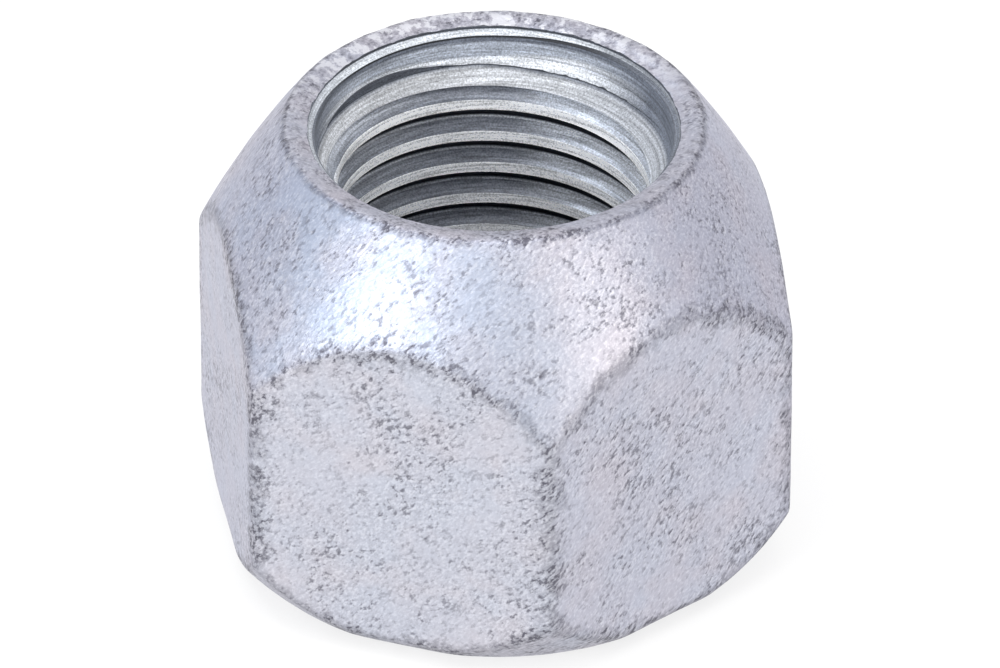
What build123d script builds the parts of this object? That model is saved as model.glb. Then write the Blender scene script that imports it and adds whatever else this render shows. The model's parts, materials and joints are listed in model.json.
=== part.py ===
from build123d import *
from math import radians, sqrt, tan
import os

# Conical-seat wheel nut in one piece of steel, forged, turned, tapped and zinc coated.
# Origin at the centre of the flat hexagon end, +Z along the thread axis towards the seat,
# two of the hexagon's flats square to X. Lengths are in millimetres, angles in degrees.

# Hexagon
across_flats = 22.0
corner_radius = 0.55
nut_height = 18.9

# Thread, M14 x 1.5: the bore is left at the tapping size
thread_diameter = 14.0
thread_pitch = 1.5

# Recess at the seat end: a chamfered mouth, a wall that clears the stud's thread, a conical floor
recess_clearance = 0.24
recess_depth = 1.80
mouth_chamfer = 0.30
floor_angle = 90.0

# Countersink of the bore at the hexagon end
countersink_allowance = 0.84
countersink_angle = 90.0

# Lip round the seat end: a narrow land, then a slope that dips to the recess
lip_width = 0.94
lip_land = 0.30
lip_dip = 0.23
lip_edge_radius = 0.25

# Conical seat: included angle from the lip to the hexagon's corners, and radius of its crown
seat_angle = 60.0
seat_crown_radius = 42.0

# Chamfer round the hexagon end, its angle measured from the axis
base_inset = 0.85
base_chamfer_angle = 35.0
base_edge_break = 0.30

# Rounding of the scalloped edges where the turned faces meet the flats
rim_radius = 0.40

bore_radius = (thread_diameter - thread_pitch) / 2
recess_radius = (thread_diameter + recess_clearance) / 2
mouth_radius = recess_radius + mouth_chamfer
lip_radius = mouth_radius + lip_width
base_radius = across_flats / 2 - base_inset
corner_circle_radius = across_flats / sqrt(3)


def hexagon_bar():
    """Plain hexagon bar, as long as the nut."""
    outline = RegularPolygon(across_flats / 2, 6, major_radius=False, rotation=30)
    return extrude(outline, nut_height)


def turned_blank():
    """Solid form left by turning: base, base chamfer, crowned seat and land of the lip."""
    chamfer_height = (corner_circle_radius - base_radius) / tan(radians(base_chamfer_angle))
    seat_height = (corner_circle_radius - lip_radius) / tan(radians(seat_angle / 2))
    seat_foot = (corner_circle_radius, nut_height - seat_height)
    lip_edge = (lip_radius, nut_height)
    outline = Polyline(
        lip_edge,
        (0, nut_height),
        (0, 0),
        (base_radius, 0),
        (corner_circle_radius, chamfer_height),
        seat_foot,
    )
    seat = RadiusArc(seat_foot, lip_edge, -seat_crown_radius)
    return revolve(Plane.XZ * make_face(outline + seat), Axis.Z)


def rounded_body():
    """Hexagon bar cut to the turned blank, with the edges of its flats and ends rounded."""
    body = hexagon_bar() & turned_blank()
    body = fillet(body.edges().filter_by(Axis.Z), corner_radius)
    sides = body.faces().filter_by(lambda face: abs(face.normal_at().Z) < 0.01)
    rims = sides.edges().filter_by(GeomType.LINE, reverse=True)
    body = fillet(rims, rim_radius)
    base_edge = body.faces().sort_by(Axis.Z)[0].edges()
    body = chamfer(base_edge, base_edge_break)
    lip_edge = body.faces().sort_by(Axis.Z)[-1].edges()
    return fillet(lip_edge, lip_edge_radius)


def bore():
    """Through bore at tapping size, its countersink, the recess and the slope of the lip."""
    sink_radius = (thread_diameter + countersink_allowance) / 2
    sink_depth = (sink_radius - bore_radius) / tan(radians(countersink_angle / 2))
    floor_height = nut_height - recess_depth
    floor_drop = (recess_radius - bore_radius) / tan(radians(floor_angle / 2))
    mouth_height = nut_height - lip_dip
    outline = Polyline(
        (0, 0),
        (sink_radius, 0),
        (bore_radius, sink_depth),
        (bore_radius, floor_height - floor_drop),
        (recess_radius, floor_height),
        (recess_radius, mouth_height - mouth_chamfer),
        (mouth_radius, mouth_height),
        (lip_radius - lip_land, nut_height),
        (0, nut_height),
        close=True,
    )
    return revolve(Plane.XZ * make_face(outline), Axis.Z)


os.makedirs("parts", exist_ok=True)
lug_nut = rounded_body() - bore()
lug_nut.label = "lug_nut"
export_step(lug_nut, "parts/lug_nut.step")
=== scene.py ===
import json
from math import atan2, cos, degrees, hypot, pi, radians, sin, sqrt, tan
from random import Random

import bpy
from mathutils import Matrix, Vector


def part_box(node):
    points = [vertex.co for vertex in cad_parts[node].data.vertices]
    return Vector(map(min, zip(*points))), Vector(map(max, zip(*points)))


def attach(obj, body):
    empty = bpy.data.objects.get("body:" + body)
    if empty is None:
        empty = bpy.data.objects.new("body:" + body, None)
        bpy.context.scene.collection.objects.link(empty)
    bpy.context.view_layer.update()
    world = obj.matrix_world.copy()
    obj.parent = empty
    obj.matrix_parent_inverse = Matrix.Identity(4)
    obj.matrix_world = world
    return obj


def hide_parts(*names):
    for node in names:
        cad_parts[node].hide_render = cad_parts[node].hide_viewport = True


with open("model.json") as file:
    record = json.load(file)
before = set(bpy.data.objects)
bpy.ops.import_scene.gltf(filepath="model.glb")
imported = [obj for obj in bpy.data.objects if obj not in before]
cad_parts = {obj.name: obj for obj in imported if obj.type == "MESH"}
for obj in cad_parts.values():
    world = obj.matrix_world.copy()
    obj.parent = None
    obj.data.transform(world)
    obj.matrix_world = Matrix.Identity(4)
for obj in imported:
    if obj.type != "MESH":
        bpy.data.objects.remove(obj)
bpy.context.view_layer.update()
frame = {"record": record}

# ---------------------------------------------------------------------------
# The blank: a hexagon bar of mild steel, hot forged, then turned at both ends.
# Forging and a thick coat of zinc leave every edge softly rounded and a little
# uneven, with small knocks round the lip. All of it is one piece with the bore.
# ---------------------------------------------------------------------------

mm = 0.001
low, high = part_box("lug_nut")
height = high.z - low.z
half_flats = (high.x - low.x) / 2
corner_circle = 2 * half_flats / sqrt(3)
corner_rounding = 0.55 * mm

# the flat end: its circle, a crowned chamfer up to the corners, and the eased foot of each flat
base_radius = half_flats - 0.75 * mm
base_rise = 3.2 * mm
base_crown = 10 * mm
base_edge = (0.25 * mm, 0.22 * mm)
base_edge_swell = 0.08 * mm
flat_ease = 1.05 * mm
flat_ease_slope = radians(50)

# the seat end: a crowned 60-degree cone up to a lip with a narrow land, which then dips inwards
lip_radius = 8.36 * mm
lip_land = 0.30 * mm
lip_dip = 0.23 * mm
mouth_radius = 7.42 * mm
seat_half_angle = radians(30)
seat_foot = height - (corner_circle - lip_radius) / tan(seat_half_angle)
seat_crown = 42 * mm

# how finely it is turned, and how far forging, zinc and tumbling moved the skin
crown_rings = 14
facets = 256
skin_size = 0.165 * mm
skin_passes = 6
forging_swell = 0.07 * mm
forging_spacing = 3.2 * mm
knock_depth = 0.07 * mm
knock_spacing = 0.75 * mm
knocked_height = 0.42 * mm


def crowned(z, foot, top, crown):
    """Radius at a height on the arc that bulges out between two points of (radius, height)."""
    run, rise = top[0] - foot[0], top[1] - foot[1]
    chord = hypot(run, rise)
    reach = sqrt(crown ** 2 - (chord / 2) ** 2)
    centre_r = (foot[0] + top[0]) / 2 - reach * rise / chord
    centre_z = (foot[1] + top[1]) / 2 + reach * run / chord
    return centre_r + sqrt(crown ** 2 - (z - centre_z) ** 2)


def seat_radius(z):
    """Radius of the seat at a height, from the corners up to the lip."""
    return crowned(z, (corner_circle, seat_foot), (lip_radius, height), seat_crown)


def base_reach(z):
    """Radius of the base chamfer at a height, from the flat end up to the corners."""
    return crowned(z, (base_radius, 0), (corner_circle, base_rise), base_crown)


def apply_modifier(piece, kind, **settings):
    """Adds one modifier with its settings and applies it to the mesh."""
    bpy.ops.object.select_all(action="DESELECT")
    bpy.context.view_layer.objects.active = piece
    piece.select_set(True)
    modifier = piece.modifiers.new(kind, kind)
    for name, value in settings.items():
        setattr(modifier, name, value)
    bpy.ops.object.modifier_apply(modifier=modifier.name)


def turned(name, rings, sides=facets):
    """A closed form on the axis: a filled circle drawn up through rings of (radius, height)."""
    bpy.ops.object.select_all(action="DESELECT")
    radius, z = rings[0]
    bpy.ops.mesh.primitive_circle_add(
        vertices=sides, radius=radius, fill_type="NGON", location=(0, 0, z)
    )
    piece = bpy.context.active_object
    piece.name = name
    bpy.ops.object.transform_apply(location=True, rotation=True, scale=True)
    bpy.ops.object.mode_set(mode="EDIT")
    bpy.ops.mesh.select_all(action="SELECT")
    for next_radius, next_z in rings[1:]:
        share = next_radius / radius
        bpy.ops.mesh.extrude_region_move(TRANSFORM_OT_translate={"value": (0, 0, next_z - z)})
        bpy.ops.transform.resize(value=(share, share, 1), center_override=(0, 0, next_z))
        radius, z = next_radius, next_z
    bpy.ops.mesh.select_all(action="SELECT")
    bpy.ops.mesh.normals_make_consistent(inside=False)
    bpy.ops.object.mode_set(mode="OBJECT")
    return piece


# the hexagon bar: its flats eased at the foot, its six upright edges rounded
nut = turned("zinc_coated_nut", [
    (corner_circle * (1 - flat_ease / half_flats), 0),
    (corner_circle, flat_ease / tan(flat_ease_slope)),
    (corner_circle, height),
], sides=6)
for edge in nut.data.edges:
    ends = [nut.data.vertices[i].co for i in edge.vertices]
    edge.select = abs(ends[0].z - ends[1].z) > height / 2
bpy.ops.object.mode_set(mode="EDIT")
bpy.ops.mesh.select_mode(type="EDGE")
bpy.ops.mesh.bevel(offset=corner_rounding * tan(radians(30)), segments=4)
bpy.ops.object.mode_set(mode="OBJECT")

# the turned form: flat end and its chamfer, crowned seat, land and slope of the lip
rings = [(base_radius - base_edge[0], 0), (base_radius + base_edge_swell, base_edge[1])]
for step in range(2, crown_rings + 1):
    z = base_rise * step / crown_rings
    rings.append((base_reach(z), z))
for step in range(crown_rings + 1):
    z = seat_foot + (height - seat_foot) * step / crown_rings
    rings.append((seat_radius(z), z))
rings += [(lip_radius - lip_land, height), (mouth_radius, height - lip_dip)]
blank = turned("turned_blank", rings)

apply_modifier(nut, "BOOLEAN", object=blank, operation="INTERSECT", solver="EXACT")
bpy.data.objects.remove(blank)

# forged softness: an even skin of small faces, its edges eased, then a slight unevenness
# everywhere but on the faced flat end
apply_modifier(nut, "REMESH", mode="VOXEL", voxel_size=skin_size)
apply_modifier(nut, "SMOOTH", factor=0.5, iterations=skin_passes)
skin = nut.vertex_groups.new(name="skin")
skin.add([v.index for v in nut.data.vertices if v.co.z > 0.1 * mm], 1, "REPLACE")
forging = bpy.data.textures.new("forging_unevenness", "CLOUDS")
forging.noise_scale = forging_spacing
apply_modifier(
    nut, "DISPLACE", texture=forging, texture_coords="LOCAL", strength=forging_swell,
    vertex_group="skin",
)

# the lip took small knocks in the tumbling barrel
lip_zone = nut.vertex_groups.new(name="lip")
lip_zone.add(
    [v.index for v in nut.data.vertices if v.co.z > height - knocked_height], 1, "REPLACE"
)
knocks = bpy.data.textures.new("lip_knocks", "CLOUDS")
knocks.noise_scale = knock_spacing
apply_modifier(
    nut, "DISPLACE", texture=knocks, texture_coords="LOCAL", strength=knock_depth, mid_level=0.6,
    vertex_group="lip",
)


def linear(code):
    """An sRGB hex value as linear colour with alpha."""
    parts = [int(code[i:i + 2], 16) / 255 for i in (0, 2, 4)]
    return [p / 12.92 if p <= 0.04045 else ((p + 0.055) / 1.055) ** 2.4 for p in parts] + [1]


def add_node(tree, kind, inputs=(), **settings):
    """Adds a node, sets its properties, then sets or links its inputs."""
    node = tree.nodes.new(kind)
    for name, value in settings.items():
        setattr(node, name, value)
    for name, value in dict(inputs).items():
        if isinstance(value, bpy.types.NodeSocket):
            tree.links.new(value, node.inputs[name])
        else:
            node.inputs[name].default_value = value
    return node


# Zinc coat, mechanically plated over the forged skin: a matt lilac grey metal. Tumbling leaves
# it full of fine grain and small dark pits, in clusters and leaning one way, dense along edges,
# and bruises the lip. Real pits are some 0.1 mm across; grain and flecks are drawn just as fine
# as they can show.
coat_cool = linear("CACDD9")
coat_plain = linear("CACBD6")
coat_rosy = linear("CECCD5")
# the painted bluish sheen of the key lamp
blue_sheen_tint = linear("C4CEDF")
# painted shade: the tint for flats turned from the light, and the shades of seat, edge and lip by how
# far they face up
shaded_side_tint = linear("F0EFF4")
seat_shade = linear("F4F4F6")
lip_shade = linear("F4F4F3")
edge_shade = linear("DEDFE2")
pit_grey = linear("5F5E69")
# white of the pale flecks and of the painted highlights
fleck_and_highlight_white = linear("F4F5FB")
drift_per_mm = 0.38
cluster_per_mm = 0.6
pit_per_mm = 5.2
grain_per_mm = 9.5
swell_per_mm = 1.7
dent_per_mm = 2.6
knock_per_mm = 1.9
ragged_per_mm = 1.9
lean_stretch = 1.9
lean = radians(-42)
# offset of the painted highlight beside each pit
brim_highlight_shift = (-0.03, 0.0, 0.07)
cluster_weight = 0.4
wear_weight = 0.052
ragged_reach = 0.8
pit_limits = (0.722, 0.87)
darkest = 0.95
swell_weight = 2.5
coat_relief = 0.04 * mm
coat_bump = 0.36
coat_roughness = (0.38, 0.56)

# which parts show which finish or painted light and shade: how far a face looks up, its side, its
# height in mm, and its distance in mm from an edge less a ragged share
seat_facing = (0.2, 0.42)
lip_facing = (0.75, 0.9)
under_facing = (-0.2, -0.6)
sheen_side = (-0.7, -0.6, 0.4)
lit_side = (-0.35, -0.94, 0)
rear_side = (0.05, 1, 0)
smooth_heights = (11.5, 15.5)
wear_gaps = (-0.33, -0.08)

zinc = bpy.data.materials.new("matt_zinc_coat")
zinc.use_nodes = True
tree = zinc.node_tree
coordinates = add_node(tree, "ShaderNodeTexCoord")
in_mm = add_node(
    tree, "ShaderNodeVectorMath", {0: coordinates.outputs["Object"], "Scale": 1 / mm},
    operation="SCALE",
).outputs[0]
leaning = add_node(
    tree, "ShaderNodeMapping",
    {"Vector": in_mm, "Rotation": (0, lean, 0), "Scale": (lean_stretch, 1, 1)},
    vector_type="TEXTURE",
).outputs[0]

# broad drifts between a cool, a plain and a rosy grey
drift = add_node(
    tree, "ShaderNodeTexNoise", {"Vector": in_mm, "Scale": drift_per_mm, "Detail": 3.0}
).outputs["Color"]
drifts = add_node(tree, "ShaderNodeSeparateColor", {"Color": drift})
tone = add_node(
    tree, "ShaderNodeMapRange", {"Value": drifts.outputs["Red"], "From Min": 0.4, "From Max": 0.6}
).outputs[0]
tone = add_node(
    tree, "ShaderNodeMix", {0: tone, 6: coat_plain, 7: coat_cool}, data_type="RGBA"
).outputs[2]
rosy = add_node(
    tree, "ShaderNodeMapRange", {"Value": drifts.outputs["Green"], "From Min": 0.48, "From Max": 0.68}
).outputs[0]
tone = add_node(
    tree, "ShaderNodeMix", {0: rosy, 6: tone, 7: coat_rosy}, data_type="RGBA"
).outputs[2]

# a painted bluish sheen, in patches, on the side of the seat that faces the key lamp
facing = add_node(tree, "ShaderNodeSeparateXYZ", {0: coordinates.outputs["Normal"]}).outputs["Z"]
on_seat = add_node(
    tree, "ShaderNodeMapRange",
    {"Value": facing, "From Min": seat_facing[0], "From Max": seat_facing[1]},
).outputs[0]
blue_sheen = add_node(
    tree, "ShaderNodeVectorMath", {0: coordinates.outputs["Normal"], 1: sheen_side},
    operation="DOT_PRODUCT",
).outputs["Value"]
blue_sheen = add_node(
    tree, "ShaderNodeMapRange", {"Value": blue_sheen, "From Min": 0.6, "From Max": 0.95}
).outputs[0]
patchy = add_node(
    tree, "ShaderNodeMapRange",
    {
        "Value": drifts.outputs["Blue"], "From Min": 0.4, "From Max": 0.58,
        "To Min": 0.3, "To Max": 1.0,
    },
).outputs[0]
for limit in (patchy, on_seat):
    blue_sheen = add_node(
        tree, "ShaderNodeMath", {0: blue_sheen, 1: limit}, operation="MULTIPLY"
    ).outputs[0]
tone = add_node(
    tree, "ShaderNodeMix", {0: blue_sheen, 6: tone, 7: blue_sheen_tint}, data_type="RGBA"
).outputs[2]

# painted shade: the flats turned away from the lit side are a little darker, and by how far they face
# up, so are seat, scallops and lip
brightness = add_node(
    tree, "ShaderNodeVectorMath", {0: coordinates.outputs["Normal"], 1: lit_side},
    operation="DOT_PRODUCT",
).outputs["Value"]
brightness = add_node(
    tree, "ShaderNodeMapRange", {"Value": brightness, "From Min": 0.45, "From Max": 0.95}
).outputs[0]
side_shading = add_node(
    tree, "ShaderNodeMix", {0: brightness, 6: shaded_side_tint, 7: (1, 1, 1, 1)}, data_type="RGBA"
).outputs[2]
tone = add_node(
    tree, "ShaderNodeMix", {0: 1.0, 6: tone, 7: side_shading}, data_type="RGBA", blend_type="MULTIPLY"
).outputs[2]
shade = add_node(tree, "ShaderNodeValToRGB", {"Fac": facing})
shade.color_ramp.elements[0].position = 0.12
shade.color_ramp.elements[0].color = (1, 1, 1, 1)
shade.color_ramp.elements[1].position = 0.93
shade.color_ramp.elements[1].color = lip_shade
for position, stop in ((0.40, seat_shade), (0.60, seat_shade), (0.70, edge_shade), (0.80, edge_shade)):
    shade.color_ramp.elements.new(position).color = stop
tone = add_node(
    tree, "ShaderNodeMix", {0: 1.0, 6: tone, 7: shade.outputs["Color"]},
    data_type="RGBA", blend_type="MULTIPLY",
).outputs[2]

# wear near an edge, from the distance in millimetres kept on the mesh
edge_gap = add_node(tree, "ShaderNodeAttribute", attribute_name="edge_gap").outputs["Fac"]
ragged = add_node(
    tree, "ShaderNodeTexNoise", {"Vector": in_mm, "Scale": ragged_per_mm, "Detail": 3.0}
).outputs["Fac"]
ragged_gap = add_node(
    tree, "ShaderNodeMath", {0: ragged, 1: -ragged_reach, 2: edge_gap}, operation="MULTIPLY_ADD"
).outputs[0]
wear = add_node(
    tree, "ShaderNodeMapRange",
    {
        "Value": ragged_gap, "From Min": wear_gaps[0], "From Max": wear_gaps[1],
        "To Min": 1.0, "To Max": 0.0,
    },
    interpolation_type="SMOOTHSTEP",
).outputs[0]

# pits: where fine noise passes a threshold that clusters and wear bring down
cluster = add_node(
    tree, "ShaderNodeTexNoise",
    {"Vector": in_mm, "Scale": cluster_per_mm, "Detail": 3.0, "Roughness": 0.65},
).outputs["Fac"]
pits = add_node(
    tree, "ShaderNodeTexNoise",
    {"Vector": leaning, "Scale": pit_per_mm, "Detail": 3.0, "Roughness": 0.6},
).outputs["Fac"]
crowding = add_node(
    tree, "ShaderNodeMath", {0: cluster, 1: cluster_weight, 2: pits}, operation="MULTIPLY_ADD"
).outputs[0]
crowding = add_node(
    tree, "ShaderNodeMath", {0: wear, 1: wear_weight, 2: crowding}, operation="MULTIPLY_ADD"
).outputs[0]
pitted = add_node(
    tree, "ShaderNodeMapRange",
    {"Value": crowding, "From Min": pit_limits[0], "From Max": pit_limits[1]},
    interpolation_type="SMOOTHSTEP",
).outputs[0]

# dents: one in a few cells holds a short dark stroke
dents = add_node(
    tree, "ShaderNodeTexVoronoi", {"Vector": leaning, "Scale": dent_per_mm, "Randomness": 1.0}
)
chance = add_node(tree, "ShaderNodeSeparateColor", {"Color": dents.outputs["Color"]})
size = add_node(
    tree, "ShaderNodeMapRange",
    {"Value": chance.outputs["Red"], "From Min": 0.6, "From Max": 1.0, "To Min": 0.0, "To Max": 0.3},
).outputs[0]
dent = add_node(
    tree, "ShaderNodeMath", {0: size, 1: dents.outputs["Distance"]}, operation="SUBTRACT"
).outputs[0]
dent = add_node(
    tree, "ShaderNodeMapRange", {"Value": dent, "From Min": -0.02, "From Max": 0.14},
    interpolation_type="SMOOTHSTEP",
).outputs[0]

# knocks on the lip: broader dark strokes that only its top shows
knock_noise = add_node(
    tree, "ShaderNodeTexNoise",
    {"Vector": in_mm, "Scale": knock_per_mm, "Detail": 3.0, "Roughness": 0.65},
).outputs["Fac"]
knocks = add_node(
    tree, "ShaderNodeMapRange", {"Value": knock_noise, "From Min": 0.53, "From Max": 0.63}
).outputs[0]
on_lip = add_node(
    tree, "ShaderNodeMapRange",
    {"Value": facing, "From Min": lip_facing[0], "From Max": lip_facing[1]},
).outputs[0]
knocked = add_node(tree, "ShaderNodeMath", {0: knocks, 1: on_lip}, operation="MULTIPLY").outputs[0]

# painted shade: whatever faces down, such as the chamfer of the base, is darkened
underside_shade = add_node(
    tree, "ShaderNodeMapRange",
    {"Value": facing, "From Min": under_facing[0], "From Max": under_facing[1]},
).outputs[0]

# some zones were rubbed smooth, most of all the lower part of the seat
smoothed = add_node(
    tree, "ShaderNodeMapRange", {"Value": drifts.outputs["Blue"], "From Min": 0.42, "From Max": 0.62}
).outputs[0]
height_mm = add_node(tree, "ShaderNodeSeparateXYZ", {0: in_mm}).outputs["Z"]
low_seat = add_node(
    tree, "ShaderNodeMapRange",
    {
        "Value": height_mm, "From Min": smooth_heights[0], "From Max": smooth_heights[1],
        "To Min": 0.8, "To Max": 0.1,
    },
).outputs[0]
low_seat = add_node(tree, "ShaderNodeMath", {0: low_seat, 1: on_seat}, operation="MULTIPLY").outputs[0]
smoothed = add_node(tree, "ShaderNodeMath", {0: smoothed, 1: low_seat}, operation="MAXIMUM").outputs[0]
roughened = add_node(
    tree, "ShaderNodeMapRange", {"Value": smoothed, "To Min": 1.15, "To Max": 0.5}
).outputs[0]

# all of it darkens the coat towards the grey of the pits
grain = add_node(
    tree, "ShaderNodeTexNoise",
    {"Vector": leaning, "Scale": grain_per_mm, "Detail": 2.0, "Roughness": 0.6},
).outputs["Fac"]
darkening = add_node(
    tree, "ShaderNodeMapRange",
    {"Value": grain, "From Min": 0.32, "From Max": 0.62, "To Min": 0.24, "To Max": 0.0},
).outputs[0]
darkening = add_node(
    tree, "ShaderNodeMath", {0: darkening, 1: roughened}, operation="MULTIPLY"
).outputs[0]
pitted = add_node(tree, "ShaderNodeMath", {0: pitted, 1: roughened}, operation="MULTIPLY").outputs[0]
for amount, share in (
    (pitted, 0.5), (dent, 0.34), (wear, 0.3), (knocked, 0.34), (underside_shade, 0.22),
):
    darkening = add_node(
        tree, "ShaderNodeMath", {0: amount, 1: share, 2: darkening}, operation="MULTIPLY_ADD",
    ).outputs[0]
darkening = add_node(
    tree, "ShaderNodeMath", {0: darkening, 1: darkest}, operation="MINIMUM"
).outputs[0]
colour = add_node(
    tree, "ShaderNodeMix", {0: darkening, 6: tone, 7: pit_grey}, data_type="RGBA"
).outputs[2]

# pale flecks of the high grain, a painted highlight on the upper brim of each pit, and painted
# highlight streaks on the +Y side of the lip
flecks_and_highlights = add_node(
    tree, "ShaderNodeMapRange",
    {"Value": grain, "From Min": 0.54, "From Max": 0.74, "To Min": 0.0, "To Max": 0.32},
).outputs[0]
beside = add_node(
    tree, "ShaderNodeVectorMath", {0: leaning, 1: brim_highlight_shift}, operation="ADD"
).outputs[0]
pits_beside = add_node(
    tree, "ShaderNodeTexNoise",
    {"Vector": beside, "Scale": pit_per_mm, "Detail": 3.0, "Roughness": 0.6},
).outputs["Fac"]
drop = add_node(tree, "ShaderNodeMath", {0: pits_beside, 1: pits}, operation="SUBTRACT").outputs[0]
pit_brim_highlight = add_node(
    tree, "ShaderNodeMapRange",
    {"Value": drop, "From Min": 0.03, "From Max": 0.2, "To Min": 0.0, "To Max": 0.3},
).outputs[0]
pit_brim_highlight = add_node(tree, "ShaderNodeMath", {0: pit_brim_highlight, 1: roughened}, operation="MULTIPLY").outputs[0]
flecks_and_highlights = add_node(tree, "ShaderNodeMath", {0: flecks_and_highlights, 1: pit_brim_highlight}, operation="MAXIMUM").outputs[0]
lip_highlight_streaks = add_node(
    tree, "ShaderNodeMapRange",
    {"Value": knock_noise, "From Min": 0.50, "From Max": 0.42, "To Min": 0.0, "To Max": 0.6},
).outputs[0]
lip_highlight_streaks = add_node(tree, "ShaderNodeMath", {0: lip_highlight_streaks, 1: on_lip}, operation="MULTIPLY").outputs[0]
behind = add_node(
    tree, "ShaderNodeVectorMath", {0: in_mm, 1: rear_side}, operation="DOT_PRODUCT"
).outputs["Value"]
behind = add_node(
    tree, "ShaderNodeMapRange", {"Value": behind, "From Min": 0.0, "From Max": 6.0}
).outputs[0]
lip_highlight_streaks = add_node(tree, "ShaderNodeMath", {0: lip_highlight_streaks, 1: behind}, operation="MULTIPLY").outputs[0]
flecks_and_highlights = add_node(tree, "ShaderNodeMath", {0: flecks_and_highlights, 1: lip_highlight_streaks}, operation="MAXIMUM").outputs[0]
colour = add_node(
    tree, "ShaderNodeMix", {0: flecks_and_highlights, 6: colour, 7: fleck_and_highlight_white}, data_type="RGBA"
).outputs[2]

# relief: the swell of the forging, the grain, and the pits sunk into both
swell = add_node(
    tree, "ShaderNodeTexNoise", {"Vector": leaning, "Scale": swell_per_mm, "Detail": 3.0}
).outputs["Fac"]
relief = add_node(
    tree, "ShaderNodeMath", {0: darkening, 1: -1.0, 2: pits}, operation="MULTIPLY_ADD"
).outputs[0]
relief = add_node(
    tree, "ShaderNodeMath", {0: swell, 1: swell_weight, 2: relief}, operation="MULTIPLY_ADD"
).outputs[0]
bump = add_node(
    tree, "ShaderNodeBump", {"Height": relief, "Strength": coat_bump, "Distance": coat_relief}
).outputs[0]
roughness = add_node(
    tree, "ShaderNodeMapRange",
    {"Value": pits, "To Min": coat_roughness[0], "To Max": coat_roughness[1]},
).outputs[0]
shader = tree.nodes["Principled BSDF"]
shader.inputs["Metallic"].default_value = 1.0
tree.links.new(colour, shader.inputs["Base Color"])
tree.links.new(roughness, shader.inputs["Roughness"])
tree.links.new(bump, shader.inputs["Normal"])
nut.data.materials.append(zinc)

# ---------------------------------------------------------------------------
# The bore: drilled, recessed and tapped after forging, so its edges stay crisp.
# A right-hand M14 x 1.5 thread runs up to the conical floor of the recess.
# ---------------------------------------------------------------------------

# the thread: its crests are as wide as the tap leaves them, and it starts below the flat end
mounts = {mount["name"]: mount for mount in frame["record"]["mounts"]}
bore_radius = mounts["stud_thread"]["dims"]["r_mm"] * mm
pitch = 1.5 * mm
crest_width = 0.45 * mm
root_width = 0.184 * mm
flank_angle = radians(30)
thread_depth = (pitch - crest_width - root_width) / 2 / tan(flank_angle)
thread_start = -2.89 * mm
thread_turns = 15
thread_steps = 160

# its last groove, over one of the lands, closes from one angle on, over a run in degrees
last_land = 12
closing = 0.36 * mm
closing_start = -95
closing_run = 60

# the recess with its ledge and burr; a side is where it starts, the degrees over which it
# comes in, where it ends, and the degrees over which it goes out
recess_radius = 7.12 * mm
recess_floor = height - 1.80 * mm
ledge_depth = 0.23 * mm
ledge_side = (-100, 50, 74, 34)
ledge_offset = 0.27 * mm
far_side = (130, 40, 250, 40)
far_offset = 0.11 * mm
burr_side = (2, 24, 84, 20)
burr_jitter = 0.02
chip_size = 0.015 * mm

# the pocket at the foot of the recess's wall, off the axis towards one side
undercut_radius = 6.0 * mm
undercut_offset = 1.28 * mm
undercut_side = radians(122)
undercut_half = 0.02 * mm
undercut_rise = 0.8 * mm
undercut_taper = 0.32 * mm

sink_radius = 7.42 * mm
crisp_angle = radians(32)
overlap = 0.5 * mm
hair = 0.01 * mm

# the tap's path: one pitch of the thread's profile, screwed up the axis and cut off at both ends
profile = [
    (bore_radius, 0),
    (bore_radius, crest_width),
    (bore_radius + thread_depth, (pitch + crest_width - root_width) / 2),
    (bore_radius + thread_depth, (pitch + crest_width + root_width) / 2),
    (bore_radius, pitch),
]
bpy.ops.object.select_all(action="DESELECT")
bpy.ops.mesh.primitive_plane_add(size=mm, location=(0, 0, 0))
tapping = bpy.context.active_object
tapping.name = "tapping"
bpy.ops.object.mode_set(mode="EDIT")
bpy.ops.mesh.select_mode(type="VERT")
bpy.ops.mesh.select_all(action="SELECT")
bpy.ops.mesh.merge(type="CENTER")
pen = Vector((0, 0, 0))
for count, (radius, z) in enumerate(profile):
    point = Vector((radius, 0, thread_start + z))
    if count == 0:
        bpy.ops.transform.translate(value=point - pen)
    else:
        bpy.ops.mesh.extrude_region_move(TRANSFORM_OT_translate={"value": point - pen})
    pen = point
bpy.ops.object.mode_set(mode="OBJECT")
apply_modifier(
    tapping, "SCREW", axis="Z", angle=2 * pi, screw_offset=pitch, iterations=thread_turns,
    steps=thread_steps, render_steps=thread_steps,
)

# the floor's burr leans over the last groove: its roof comes down and its root ends in a sharp V
opening = pitch - crest_width
for vertex in tapping.data.vertices:
    x, y, z = vertex.co
    angle = (degrees(atan2(y, x)) - closing_start) % 360 + closing_start
    land_top = thread_start + crest_width + pitch * (last_land + angle / 360)
    lean_over = closing * min(1, (angle - closing_start) / closing_run)
    if z > land_top + hair:
        vertex.co.z = z - lean_over
    if land_top + hair < z < land_top + opening - hair:
        gap = opening - lean_over
        sharp_depth = gap / 2 / tan(flank_angle)
        reach = bore_radius + min(thread_depth, sharp_depth)
        root_z = land_top + gap / 2
        if sharp_depth > thread_depth:
            half_root = gap / 2 - thread_depth * tan(flank_angle)
            root_z += half_root if z > land_top + opening / 2 else -half_root
        vertex.co = Vector((x * reach / hypot(x, y), y * reach / hypot(x, y), root_z))
bpy.ops.object.mode_set(mode="EDIT")
bpy.ops.mesh.select_all(action="SELECT")
bpy.ops.mesh.remove_doubles(threshold=mm / 1000)
for cut_height, side in ((-overlap, -1), (recess_floor - 0.3 * mm, 1)):
    bpy.ops.mesh.select_all(action="SELECT")
    bpy.ops.mesh.bisect(
        plane_co=(0, 0, cut_height), plane_no=(0, 0, side), threshold=mm / 10000,
        use_fill=True, clear_outer=True,
    )
bpy.ops.mesh.select_all(action="SELECT")
bpy.ops.mesh.normals_make_consistent(inside=False)
bpy.ops.object.mode_set(mode="OBJECT")

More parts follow.
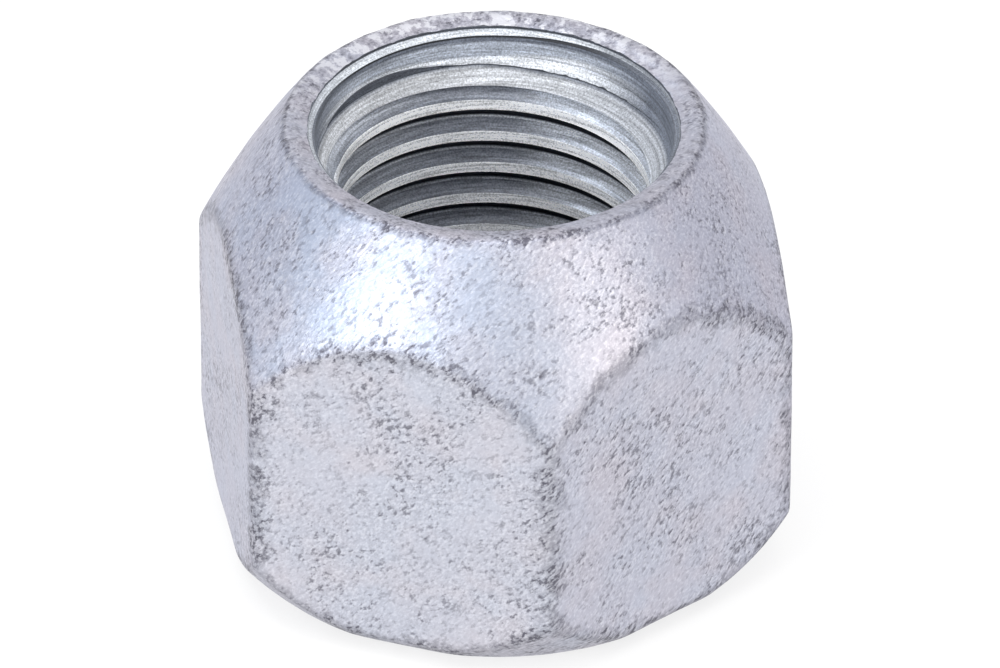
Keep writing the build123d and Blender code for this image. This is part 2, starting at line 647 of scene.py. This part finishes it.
# the counterbore: a narrow ledge below the lip, a wall, and a 45-degree floor under a fine burr
floor_end = bore_radius - 0.05 * mm
mouth = height - lip_dip
ledge_foot = mouth - ledge_depth
recess = turned("recess", [
    (floor_end, recess_floor - (recess_radius - floor_end)),
    (recess_radius - 0.04 * mm, recess_floor - 0.04 * mm),
    (recess_radius - 0.02 * mm, recess_floor + 0.01 * mm),
    (recess_radius - 0.08 * mm, recess_floor + 0.06 * mm),
    (recess_radius - 0.005 * mm, recess_floor + 0.32 * mm),
    (recess_radius, recess_floor + 0.35 * mm),
    (recess_radius, recess_floor + 0.39 * mm),
    (recess_radius, ledge_foot - 0.08 * mm),
    (recess_radius + 0.05 * mm, ledge_foot - 0.04 * mm),
    (recess_radius, ledge_foot),
    (mouth_radius, mouth - 0.12 * mm),
    (mouth_radius, mouth),
    (mouth_radius + overlap, mouth + overlap),
])


def fading(angle, start, coming_in, end, going_out):
    """1 on one side of the bore and 0 elsewhere, fading at both ends of that side."""
    return max(0, min(1, (angle - start) / coming_in, (end - angle) / going_out))


# the ledge is off centre and runs out on one side; there the tool also rolled the burr wider,
# with a ragged foot and a fine line above it. Each ring of the ledge, by its height in mm over
# the ledge's foot, takes a share of the run-out. Each ring of the burr, by its rise in mm over
# the floor, is pushed outwards and upwards in mm, and the ragged ones take a share of a jitter.
ledge_share = {-0.08: 0.3, -0.04: 0.6, 0.0: 1.0}
burr_push = {
    -0.04: (-0.13, -0.13, 1, 1), 0.01: (-0.12, -0.13, 0, 0), 0.06: (-0.10, -0.12, 1, 0),
    0.32: (0.0, 0.0, 0, 0), 0.35: (0.07, 0.0, 0, 0),
}
chatter = Random(7)
for vertex in recess.data.vertices:
    x, y, z = vertex.co
    angle = degrees(atan2(y, x))
    rise = (z - recess_floor) / mm
    if ledge_foot - 0.1 * mm < z < mouth - 0.15 * mm:
        run_out = fading(angle, *ledge_side) * ledge_offset
        run_out += fading(angle % 360, *far_side) * far_offset
        run_out *= ledge_share[round((z - ledge_foot) / mm, 2)]
        vertex.co.x += run_out * cos(radians(angle))
        vertex.co.y += run_out * sin(radians(angle))
    if abs(z - mouth) < hair:
        chip = chatter.uniform(-chip_size, chip_size)
        vertex.co.x += chip * cos(radians(angle))
        vertex.co.y += chip * sin(radians(angle))
    roll = fading(angle, *burr_side)
    if roll > 0 and min(burr_push) - 0.06 < rise < max(burr_push) + 0.02:
        jitter = chatter.uniform(-burr_jitter, burr_jitter)
        outward, upward, jitter_out, jitter_up = burr_push[round(rise, 2)]
        outward = (outward + jitter * jitter_out) * roll * mm
        upward = (upward + jitter * jitter_up) * roll * mm
        vertex.co = Vector((
            x + outward * cos(radians(angle)), y + outward * sin(radians(angle)), z + upward,
        ))

# on the other side the tool cut a shallow, tapering pocket into the foot of the wall
undercut = turned("undercut", [
    (undercut_radius, recess_floor - undercut_half),
    (undercut_radius, recess_floor + undercut_half),
    (undercut_radius - undercut_taper, recess_floor + undercut_rise),
])
bpy.ops.transform.translate(value=(
    undercut_offset * cos(undercut_side), undercut_offset * sin(undercut_side), 0,
))
bpy.ops.object.transform_apply(location=True, rotation=True, scale=True)

# the countersink at the flat end, and all four cuts joined into one tool
sink = turned("countersink", [
    (sink_radius + overlap, -overlap),
    (floor_end, sink_radius - floor_end),
])
for cutter in (recess, undercut, sink):
    apply_modifier(tapping, "BOOLEAN", object=cutter, operation="UNION", solver="EXACT")
    bpy.data.objects.remove(cutter)

# Cut steel under a thin wash of zinc. The crests, the floor and the wall of the recess are dull
# and pale; the flanks are darker and glossy, with fine rings from the tool; the roots are painted
# black as shadow, and painted highlights and shade lie over the floor and the wall.
crest_grey = linear("F0F2F6")
# painted highlight along the crests' lower edges
crest_highlight_white = linear("FFFFFF")
flank_low = linear("5A5F69")
flank_deep = linear("8E939E")
# painted light on the grooves of one side
flank_lit_grey = linear("A4AAB5")
pale_root_line = linear("D5D9E0")
# painted shadow black, for the roots and for the line under the ledge
shadow_black = linear("20232A")
floor_grey = linear("BEC1C7")
# painted shade in the corner of the recess
corner_shade_dark = linear("3C4049")
# painted shade in the pocket at the wall's foot
pocket_shade_dark = linear("646973")
# painted highlight white, for the wall's foot, the floor's rim and the lit grooves
highlight_white = linear("DEE2E9")
wall_grey = linear("B4BBC8")
# painted shade grey
wall_shade_grey = linear("6C727E")
ledge_pale = linear("C9CED6")
# painted shadow line at the mouth
mouth_shadow_dark = linear("3A3E47")
rings_per_mm = 11
grain_per_mm = 13
ring_relief = 0.02 * mm
ring_bump = 0.3
steel_roughness = (0.3, 0.5)
steel_metallic = (0.3, 0.1)

# where each zone starts and ends, in mm: radii on the floor, heights over the flat end for the
# painted shade down the bore, and heights over the foot of the wall for the rest
# bands of painted highlight and painted shadow on the floor, by radius
floor_highlight_band = (6.30, 6.36)
floor_shadow = (6.96, 7.10)
depth_shade_heights = (9, 17)
wall_bottom = -0.25
upper_wall = (0.9, 1.6)
ledge_line = 1.33
pocket_top = 1.2
pocket_reach = 5.2
corner_width = 0.12
mask_slack = 0.012

steel = bpy.data.materials.new("tapped_steel_thread")
steel.use_nodes = True
tree = steel.node_tree
position = add_node(tree, "ShaderNodeTexCoord").outputs["Object"]
in_mm = add_node(
    tree, "ShaderNodeVectorMath", {0: position, "Scale": 1 / mm}, operation="SCALE"
).outputs[0]
parts = add_node(tree, "ShaderNodeSeparateXYZ", {0: in_mm})
x_mm, y_mm, z_mm = (parts.outputs[axis] for axis in "XYZ")
flattened = add_node(
    tree, "ShaderNodeVectorMath", {0: in_mm, 1: (1, 1, 0)}, operation="MULTIPLY"
).outputs[0]
radius_mm = add_node(
    tree, "ShaderNodeVectorMath", {0: flattened}, operation="LENGTH"
).outputs["Value"]

# tool rings run round the bore, so their noise reads radius and height and hardly the way round
unrolled = add_node(tree, "ShaderNodeCombineXYZ", {0: radius_mm, 1: z_mm, 2: x_mm})
unrolled = add_node(
    tree, "ShaderNodeVectorMath", {0: unrolled.outputs[0], 1: (rings_per_mm, rings_per_mm, 0.5)},
    operation="MULTIPLY",
).outputs[0]
rings = add_node(
    tree, "ShaderNodeTexNoise", {"Vector": unrolled, "Scale": 1.0, "Detail": 3.0, "Roughness": 0.7}
).outputs["Fac"]
grain = add_node(
    tree, "ShaderNodeTexNoise", {"Vector": in_mm, "Scale": grain_per_mm, "Detail": 2.0}
).outputs["Fac"]

# the thread, by depth from crest to root, with a pale line near the root; the root is painted black
# as shadow, and that painted shadow climbs the flanks towards the two sides of the bore
depth = add_node(
    tree, "ShaderNodeMapRange",
    {
        "Value": radius_mm, "From Min": bore_radius / mm,
        "From Max": (bore_radius + thread_depth) / mm,
    },
).outputs[0]
sideways = add_node(tree, "ShaderNodeMath", {0: x_mm, 1: radius_mm}, operation="DIVIDE").outputs[0]
climbing = add_node(tree, "ShaderNodeMath", {0: sideways}, operation="ABSOLUTE").outputs[0]
climbing = add_node(tree, "ShaderNodeMath", {0: climbing, 1: 1.6}, operation="POWER").outputs[0]
shadow_reach = add_node(
    tree, "ShaderNodeMath", {0: climbing, 1: -0.25, 2: 1.0}, operation="MULTIPLY_ADD"
).outputs[0]
grade = add_node(tree, "ShaderNodeMath", {0: depth, 1: shadow_reach}, operation="DIVIDE").outputs[0]
thread_tone = add_node(tree, "ShaderNodeValToRGB", {"Fac": grade})
thread_tone.color_ramp.elements[0].position = 0.004
thread_tone.color_ramp.elements[0].color = crest_grey
thread_tone.color_ramp.elements[1].position = 0.965
thread_tone.color_ramp.elements[1].color = shadow_black
for point, stop in (
    (0.03, flank_low), (0.50, flank_deep), (0.76, flank_deep), (0.80, pale_root_line), (0.85, pale_root_line),
    (0.915, flank_low),
):
    thread_tone.color_ramp.elements.new(point).color = stop

# painted highlight: each crest carries a bright line along its lower edge, by the place in the pitch
turn = add_node(tree, "ShaderNodeMath", {0: y_mm, 1: x_mm}, operation="ARCTAN2").outputs[0]
turn = add_node(tree, "ShaderNodeMath", {0: turn, 1: -0.5 / pi}, operation="MULTIPLY").outputs[0]
climb = add_node(
    tree, "ShaderNodeMath", {0: z_mm, 1: thread_start / mm}, operation="SUBTRACT"
).outputs[0]
phase = add_node(
    tree, "ShaderNodeMath", {0: climb, 1: mm / pitch, 2: turn}, operation="MULTIPLY_ADD"
).outputs[0]
phase = add_node(tree, "ShaderNodeMath", {0: phase}, operation="FRACT").outputs[0]
crest_edge_highlight = add_node(
    tree, "ShaderNodeMapRange",
    {"Value": phase, "From Min": 0.03, "From Max": 0.09, "To Min": 1.0, "To Max": 0.0},
).outputs[0]
crest_part = add_node(
    tree, "ShaderNodeMapRange",
    {"Value": depth, "From Min": 0.004, "From Max": 0.03, "To Min": 1.0, "To Max": 0.0},
).outputs[0]
crest_edge_highlight = add_node(tree, "ShaderNodeMath", {0: crest_edge_highlight, 1: crest_part}, operation="MULTIPLY").outputs[0]
thread_colour = add_node(
    tree, "ShaderNodeMix", {0: crest_edge_highlight, 6: thread_tone.outputs["Color"], 7: crest_highlight_white},
    data_type="RGBA",
).outputs[2]

# painted light: the grooves are lit deeper on one side of the bore, and a little on the other
side_light = 0.0
for start, end, share in ((0.24, 0.62, 1.0), (-0.15, -0.5, 0.22)):
    side = add_node(
        tree, "ShaderNodeMapRange",
        {"Value": sideways, "From Min": start, "From Max": end, "To Min": 0.0, "To Max": share},
        interpolation_type="SMOOTHSTEP",
    ).outputs[0]
    side_light = add_node(tree, "ShaderNodeMath", {0: side, 1: side_light}, operation="MAXIMUM").outputs[0]
shallow = add_node(
    tree, "ShaderNodeMapRange",
    {"Value": grade, "From Min": 0.84, "From Max": 0.95, "To Min": 1.0, "To Max": 0.0},
).outputs[0]
shallow = add_node(
    tree, "ShaderNodeMath", {0: shallow, 1: crest_part}, operation="SUBTRACT", use_clamp=True
).outputs[0]
side_light = add_node(tree, "ShaderNodeMath", {0: side_light, 1: shallow}, operation="MULTIPLY").outputs[0]
deeper = add_node(
    tree, "ShaderNodeMapRange", {"Value": depth, "From Min": 0.2, "From Max": 0.65}
).outputs[0]
side_lit_colour = add_node(
    tree, "ShaderNodeMix", {0: deeper, 6: flank_lit_grey, 7: highlight_white}, data_type="RGBA"
).outputs[2]
thread_colour = add_node(
    tree, "ShaderNodeMix", {0: side_light, 6: thread_colour, 7: side_lit_colour}, data_type="RGBA"
).outputs[2]

# painted shade: the thread is darker towards the bottom of the bore and lighter towards the mouth
depth_shading = add_node(
    tree, "ShaderNodeMapRange",
    {
        "Value": z_mm, "From Min": depth_shade_heights[0], "From Max": depth_shade_heights[1],
        "To Min": 0.94, "To Max": 1.16,
    },
).outputs[0]
thread_colour = add_node(
    tree, "ShaderNodeVectorMath", {0: thread_colour, "Scale": depth_shading}, operation="SCALE"
).outputs[0]

# the conical floor, where radius less height is constant: a painted highlight at its inner rim,
# painted shade on one side, and painted shade towards the corner and under the burr
floor_line = (recess_radius - recess_floor) / mm
cone = add_node(tree, "ShaderNodeMath", {0: radius_mm, 1: z_mm}, operation="SUBTRACT").outputs[0]
on_floor = add_node(
    tree, "ShaderNodeMath", {0: cone, 1: floor_line, 2: mask_slack}, operation="COMPARE"
).outputs[0]
under_burr = add_node(
    tree, "ShaderNodeMapRange",
    {"Value": sideways, "From Min": 0.1, "From Max": 0.45, "To Min": 0.0, "To Max": 0.14},
).outputs[0]
floor_corner_shade = add_node(
    tree, "ShaderNodeMath", {0: radius_mm, 1: under_burr}, operation="ADD"
).outputs[0]
floor_corner_shade = add_node(
    tree, "ShaderNodeMapRange",
    {"Value": floor_corner_shade, "From Min": floor_shadow[0], "From Max": floor_shadow[1]},
).outputs[0]
floor_rim_highlight = add_node(
    tree, "ShaderNodeMapRange",
    {
        "Value": radius_mm, "From Min": floor_highlight_band[0], "From Max": floor_highlight_band[1],
        "To Min": 0.8, "To Max": 0.0,
    },
).outputs[0]
floor_colour = add_node(
    tree, "ShaderNodeMix", {0: floor_rim_highlight, 6: floor_grey, 7: highlight_white}, data_type="RGBA"
).outputs[2]
floor_side_shade = add_node(
    tree, "ShaderNodeMapRange",
    {"Value": sideways, "From Min": 0.6, "From Max": 0.9, "To Min": 0.0, "To Max": 0.35},
).outputs[0]
floor_colour = add_node(
    tree, "ShaderNodeMix", {0: floor_side_shade, 6: floor_colour, 7: wall_shade_grey}, data_type="RGBA"
).outputs[2]
floor_colour = add_node(
    tree, "ShaderNodeMix", {0: floor_corner_shade, 6: floor_colour, 7: wall_shade_grey}, data_type="RGBA"
).outputs[2]
colour = add_node(
    tree, "ShaderNodeMix", {0: on_floor, 6: thread_colour, 7: floor_colour}, data_type="RGBA"
).outputs[2]

# the countersink at the flat end, where radius and height add up to one value
sum_mm = add_node(tree, "ShaderNodeMath", {0: radius_mm, 1: z_mm}, operation="ADD").outputs[0]
on_sink = add_node(
    tree, "ShaderNodeMath", {0: sum_mm, 1: sink_radius / mm, 2: mask_slack}, operation="COMPARE"
).outputs[0]
colour = add_node(
    tree, "ShaderNodeMix", {0: on_sink, 6: colour, 7: floor_grey}, data_type="RGBA"
).outputs[2]

# the wall of the recess, in millimetres above its corner: a dark line, a painted highlight along
# its foot that is taller to both sides, painted shade at its top and a painted black shadow line
# under the ledge, the pale ledge, and a painted shadow line at the mouth
rise = add_node(
    tree, "ShaderNodeMath", {0: z_mm, 1: recess_floor / mm}, operation="SUBTRACT"
).outputs[0]
foot_rise = rise
for start, end, added in ((0.18, 0.6, 0.34), (-0.05, -0.45, 0.2)):
    lowered = add_node(
        tree, "ShaderNodeMapRange",
        {"Value": sideways, "From Min": start, "From Max": end, "To Min": 0.0, "To Max": -added},
    ).outputs[0]
    foot_rise = add_node(
        tree, "ShaderNodeMath", {0: foot_rise, 1: lowered}, operation="ADD"
    ).outputs[0]
foot_tone = add_node(tree, "ShaderNodeValToRGB", {"Fac": foot_rise})
foot_tone.color_ramp.elements[0].position = 0.24
foot_tone.color_ramp.elements[0].color = highlight_white
foot_tone.color_ramp.elements[1].position = 0.40
foot_tone.color_ramp.elements[1].color = wall_grey
upper = add_node(
    tree, "ShaderNodeMapRange",
    {"Value": rise, "From Min": upper_wall[0], "From Max": upper_wall[1]},
).outputs[0]
upper_tone = add_node(tree, "ShaderNodeValToRGB", {"Fac": upper})
upper_tone.color_ramp.elements[0].position = 0.0
upper_tone.color_ramp.elements[0].color = wall_grey
upper_tone.color_ramp.elements[1].position = 0.86
upper_tone.color_ramp.elements[1].color = mouth_shadow_dark
for point, stop in (
    (0.12, wall_grey), (0.30, wall_shade_grey), (0.48, wall_shade_grey), (0.51, shadow_black), (0.61, shadow_black),
    (0.64, ledge_pale), (0.80, ledge_pale),
):
    upper_tone.color_ramp.elements.new(point).color = stop
is_upper = add_node(
    tree, "ShaderNodeMath", {0: rise, 1: upper_wall[0]}, operation="GREATER_THAN"
).outputs[0]
wall_colour = add_node(
    tree, "ShaderNodeMix",
    {0: is_upper, 6: foot_tone.outputs["Color"], 7: upper_tone.outputs["Color"]}, data_type="RGBA",
).outputs[2]

# painted shade: both sides of the wall are darker, most of all below the ledge
shaded = add_node(
    tree, "ShaderNodeMapRange", {"Value": climbing, "From Min": 0.52, "From Max": 0.92}
).outputs[0]
under_ledge = add_node(
    tree, "ShaderNodeMath", {0: rise, 1: ledge_line}, operation="LESS_THAN"
).outputs[0]
under_ledge = add_node(
    tree, "ShaderNodeMapRange", {"Value": under_ledge, "To Min": 0.45, "To Max": 1.0}
).outputs[0]
shaded = add_node(
    tree, "ShaderNodeMath", {0: shaded, 1: under_ledge}, operation="MULTIPLY"
).outputs[0]
wall_colour = add_node(
    tree, "ShaderNodeMix", {0: shaded, 6: wall_colour, 7: wall_shade_grey}, data_type="RGBA"
).outputs[2]

# painted shade: the corner between floor and wall is darkened, and so is the pocket that the tool cut
# at its foot
is_corner = add_node(
    tree, "ShaderNodeMath", {0: cone, 1: floor_line - corner_width}, operation="GREATER_THAN"
).outputs[0]
wall_colour = add_node(
    tree, "ShaderNodeMix", {0: is_corner, 6: wall_colour, 7: corner_shade_dark}, data_type="RGBA"
).outputs[2]
is_deep = add_node(
    tree, "ShaderNodeMath", {0: radius_mm, 1: recess_radius / mm + mask_slack},
    operation="GREATER_THAN",
).outputs[0]
is_low = add_node(tree, "ShaderNodeMath", {0: rise, 1: pocket_top}, operation="LESS_THAN").outputs[0]
towards = add_node(
    tree, "ShaderNodeVectorMath", {0: in_mm, 1: (cos(undercut_side), sin(undercut_side), 0)},
    operation="DOT_PRODUCT",
).outputs["Value"]
is_beside = add_node(
    tree, "ShaderNodeMath", {0: towards, 1: pocket_reach}, operation="GREATER_THAN"
).outputs[0]
is_undercut = is_deep
for limit in (is_low, is_beside):
    is_undercut = add_node(
        tree, "ShaderNodeMath", {0: is_undercut, 1: limit}, operation="MULTIPLY"
    ).outputs[0]
wall_colour = add_node(
    tree, "ShaderNodeMix", {0: is_undercut, 6: wall_colour, 7: pocket_shade_dark}, data_type="RGBA"
).outputs[2]

# the wall is all that lies over the floor's cone or outside the recess's radius, near the mouth
on_wall = add_node(
    tree, "ShaderNodeMath", {0: cone, 1: floor_line - mask_slack}, operation="LESS_THAN"
).outputs[0]
on_wall = add_node(tree, "ShaderNodeMath", {0: on_wall, 1: is_deep}, operation="MAXIMUM").outputs[0]
near_mouth = add_node(
    tree, "ShaderNodeMath", {0: rise, 1: wall_bottom}, operation="GREATER_THAN"
).outputs[0]
on_wall = add_node(
    tree, "ShaderNodeMath", {0: on_wall, 1: near_mouth}, operation="MULTIPLY"
).outputs[0]
colour = add_node(
    tree, "ShaderNodeMix", {0: on_wall, 6: colour, 7: wall_colour}, data_type="RGBA"
).outputs[2]

# tool rings and grain break up every tone
ringed = add_node(
    tree, "ShaderNodeMapRange",
    {"Value": rings, "From Min": 0.35, "From Max": 0.65, "To Min": 0.62, "To Max": 1.34},
).outputs[0]
grained = add_node(
    tree, "ShaderNodeMapRange",
    {"Value": grain, "From Min": 0.35, "From Max": 0.65, "To Min": 0.68, "To Max": 1.28},
).outputs[0]
cut_marks = add_node(
    tree, "ShaderNodeMath", {0: ringed, 1: grained}, operation="MULTIPLY"
).outputs[0]
colour = add_node(
    tree, "ShaderNodeVectorMath", {0: colour, "Scale": cut_marks}, operation="SCALE"
).outputs[0]

# zinc lies thicker on floor, wall, countersink and crests, which makes them duller
dull = on_floor
for zone in (on_wall, on_sink, crest_part):
    dull = add_node(tree, "ShaderNodeMath", {0: dull, 1: zone}, operation="MAXIMUM").outputs[0]
bump = add_node(
    tree, "ShaderNodeBump", {"Height": rings, "Strength": ring_bump, "Distance": ring_relief}
).outputs[0]
roughness = add_node(
    tree, "ShaderNodeMapRange",
    {"Value": dull, "To Min": steel_roughness[0], "To Max": steel_roughness[1]},
).outputs[0]
metallic = add_node(
    tree, "ShaderNodeMapRange",
    {"Value": dull, "To Min": steel_metallic[0], "To Max": steel_metallic[1]},
).outputs[0]
shader = tree.nodes["Principled BSDF"]
tree.links.new(metallic, shader.inputs["Metallic"])
tree.links.new(colour, shader.inputs["Base Color"])
tree.links.new(roughness, shader.inputs["Roughness"])
tree.links.new(bump, shader.inputs["Normal"])
tapping.data.materials.append(steel)
apply_modifier(
    nut, "BOOLEAN", object=tapping, operation="DIFFERENCE", solver="EXACT", material_mode="TRANSFER"
)
bpy.data.objects.remove(tapping)
bpy.ops.object.shade_smooth_by_angle(angle=crisp_angle)

# how far each point lies from the nearest edge, in millimetres, for the wear of the coat: a point
# lies on one face of the blank, so its distance from the second nearest face is what counts. The
# top of the lip, inside its edge, is kept clear of that wear.
base_slope = radians(37)
lip_edge = 0.1 * mm
lip_clearance = 0.2
gaps = []
for vertex in nut.data.vertices:
    x, y, z = vertex.co
    reach = hypot(x, y)
    across = [x * cos(radians(side)) + y * sin(radians(side)) for side in range(0, 360, 60)]
    foot = half_flats - flat_ease + z * tan(flat_ease_slope)
    faces = [half_flats - distance for distance in across]
    faces.append((foot - max(across)) * cos(flat_ease_slope))
    faces.append((seat_radius(z) - reach) * cos(seat_half_angle))
    faces.append((base_reach(min(z, base_rise)) - reach) * cos(base_slope))
    faces += [height - z, z]
    gap = sorted(abs(distance) for distance in faces)[1] / mm
    on_top = height - z < lip_dip and reach < lip_radius - lip_edge
    gaps.append(gap + lip_clearance if on_top else gap)
attribute = nut.data.attributes.new("edge_gap", "FLOAT", "POINT")
attribute.data.foreach_set("value", gaps)

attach(nut, "root")
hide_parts("lug_nut")

# ---------------------------------------------------------------------------
# Stage: a plain white floor that keeps a soft shadow, in a plain white room, a long
# lens from above the flats, and soft boxes all round.
# ---------------------------------------------------------------------------

floor_size = 4
floor_glow = 0.75
white = (1, 1, 1, 1)

bpy.ops.object.select_all(action="DESELECT")
bpy.ops.mesh.primitive_plane_add(size=floor_size, location=(0, 0, 0))
floor = bpy.context.active_object
floor.name = "floor"

# a camera sees the floor white, also by reflection or through something, and light still shades it
floor_coat = bpy.data.materials.new("white_floor")
floor_coat.use_nodes = True
tree = floor_coat.node_tree
tree.nodes.clear()
rays = add_node(tree, "ShaderNodeLightPath").outputs
seen = rays["Is Camera Ray"]
for kind in ("Is Glossy Ray", "Is Transmission Ray"):
    seen = add_node(tree, "ShaderNodeMath", {0: seen, 1: rays[kind]}, operation="MAXIMUM").outputs[0]
glow_share = add_node(
    tree, "ShaderNodeMath", {0: seen, 1: floor_glow}, operation="MULTIPLY"
).outputs[0]
matt = add_node(tree, "ShaderNodeBsdfDiffuse", {"Color": white}).outputs[0]
glow = add_node(tree, "ShaderNodeEmission", {"Color": white, "Strength": 1.0}).outputs[0]
mixed = add_node(tree, "ShaderNodeMixShader", {0: glow_share, 1: matt, 2: glow}).outputs[0]
add_node(tree, "ShaderNodeOutputMaterial", {"Surface": mixed})
floor.data.materials.append(floor_coat)

# the room is white to the eye and in its light
studio = bpy.data.worlds.new("studio")
bpy.context.scene.world = studio
studio.use_nodes = True
tree = studio.node_tree
tree.nodes.clear()
room = add_node(tree, "ShaderNodeBackground", {"Color": white, "Strength": 1.0}).outputs[0]
add_node(tree, "ShaderNodeOutputWorld", {"Surface": room})

# camera
camera_azimuth = radians(-10.4)
camera_elevation = radians(34.1)
camera_distance = 0.534
sensor_width = 36
focal_length = 478.7
frame_shift = (0.0062, -0.0143)
aim = Vector((0, 0, height / 2))


def direction(azimuth, elevation):
    """Unit vector from the nut towards a place round it: azimuth 0 is the -Y side."""
    return Vector((
        sin(azimuth) * cos(elevation), -cos(azimuth) * cos(elevation), sin(elevation),
    ))


def face_nut(thing, azimuth, elevation, distance):
    """Puts a camera or lamp round the nut and turns it to face the nut."""
    bpy.context.scene.collection.objects.link(thing)
    thing.location = aim + direction(azimuth, elevation) * distance
    thing.rotation_euler = (thing.location - aim).to_track_quat("Z", "Y").to_euler()


camera_data = bpy.data.cameras.new("camera")
camera_data.sensor_width = sensor_width
camera_data.lens = focal_length
camera_data.clip_start = 0.01
camera_data.shift_x, camera_data.shift_y = frame_shift
camera = bpy.data.objects.new("camera", camera_data)
face_nut(camera, camera_azimuth, camera_elevation, camera_distance)
bpy.context.scene.camera = camera

# soft boxes: azimuth and elevation in degrees, distance and side in metres, watts, colour
for name, azimuth, elevation, distance, side, watts, colour in (
    ("key_box", -57.4, 20, 0.6, 0.22, 1.15, (0.94, 0.97, 1)),
    ("fill_box", 36, 21, 0.6, 0.18, 0.5, (1, 0.94, 0.83)),
    ("top_box", -10.4, 70, 0.7, 0.4, 1.2, (1, 1, 1)),
    ("rear_box", -116, 62, 0.6, 0.13, 0.42, (0.92, 0.96, 1)),
):
    lamp_data = bpy.data.lights.new(name, "AREA")
    lamp_data.size = side
    lamp_data.energy = watts
    lamp_data.color = colour
    lamp = bpy.data.objects.new(name, lamp_data)
    face_nut(lamp, radians(azimuth), radians(elevation), distance)

bpy.context.scene.view_settings.view_transform = "Standard"
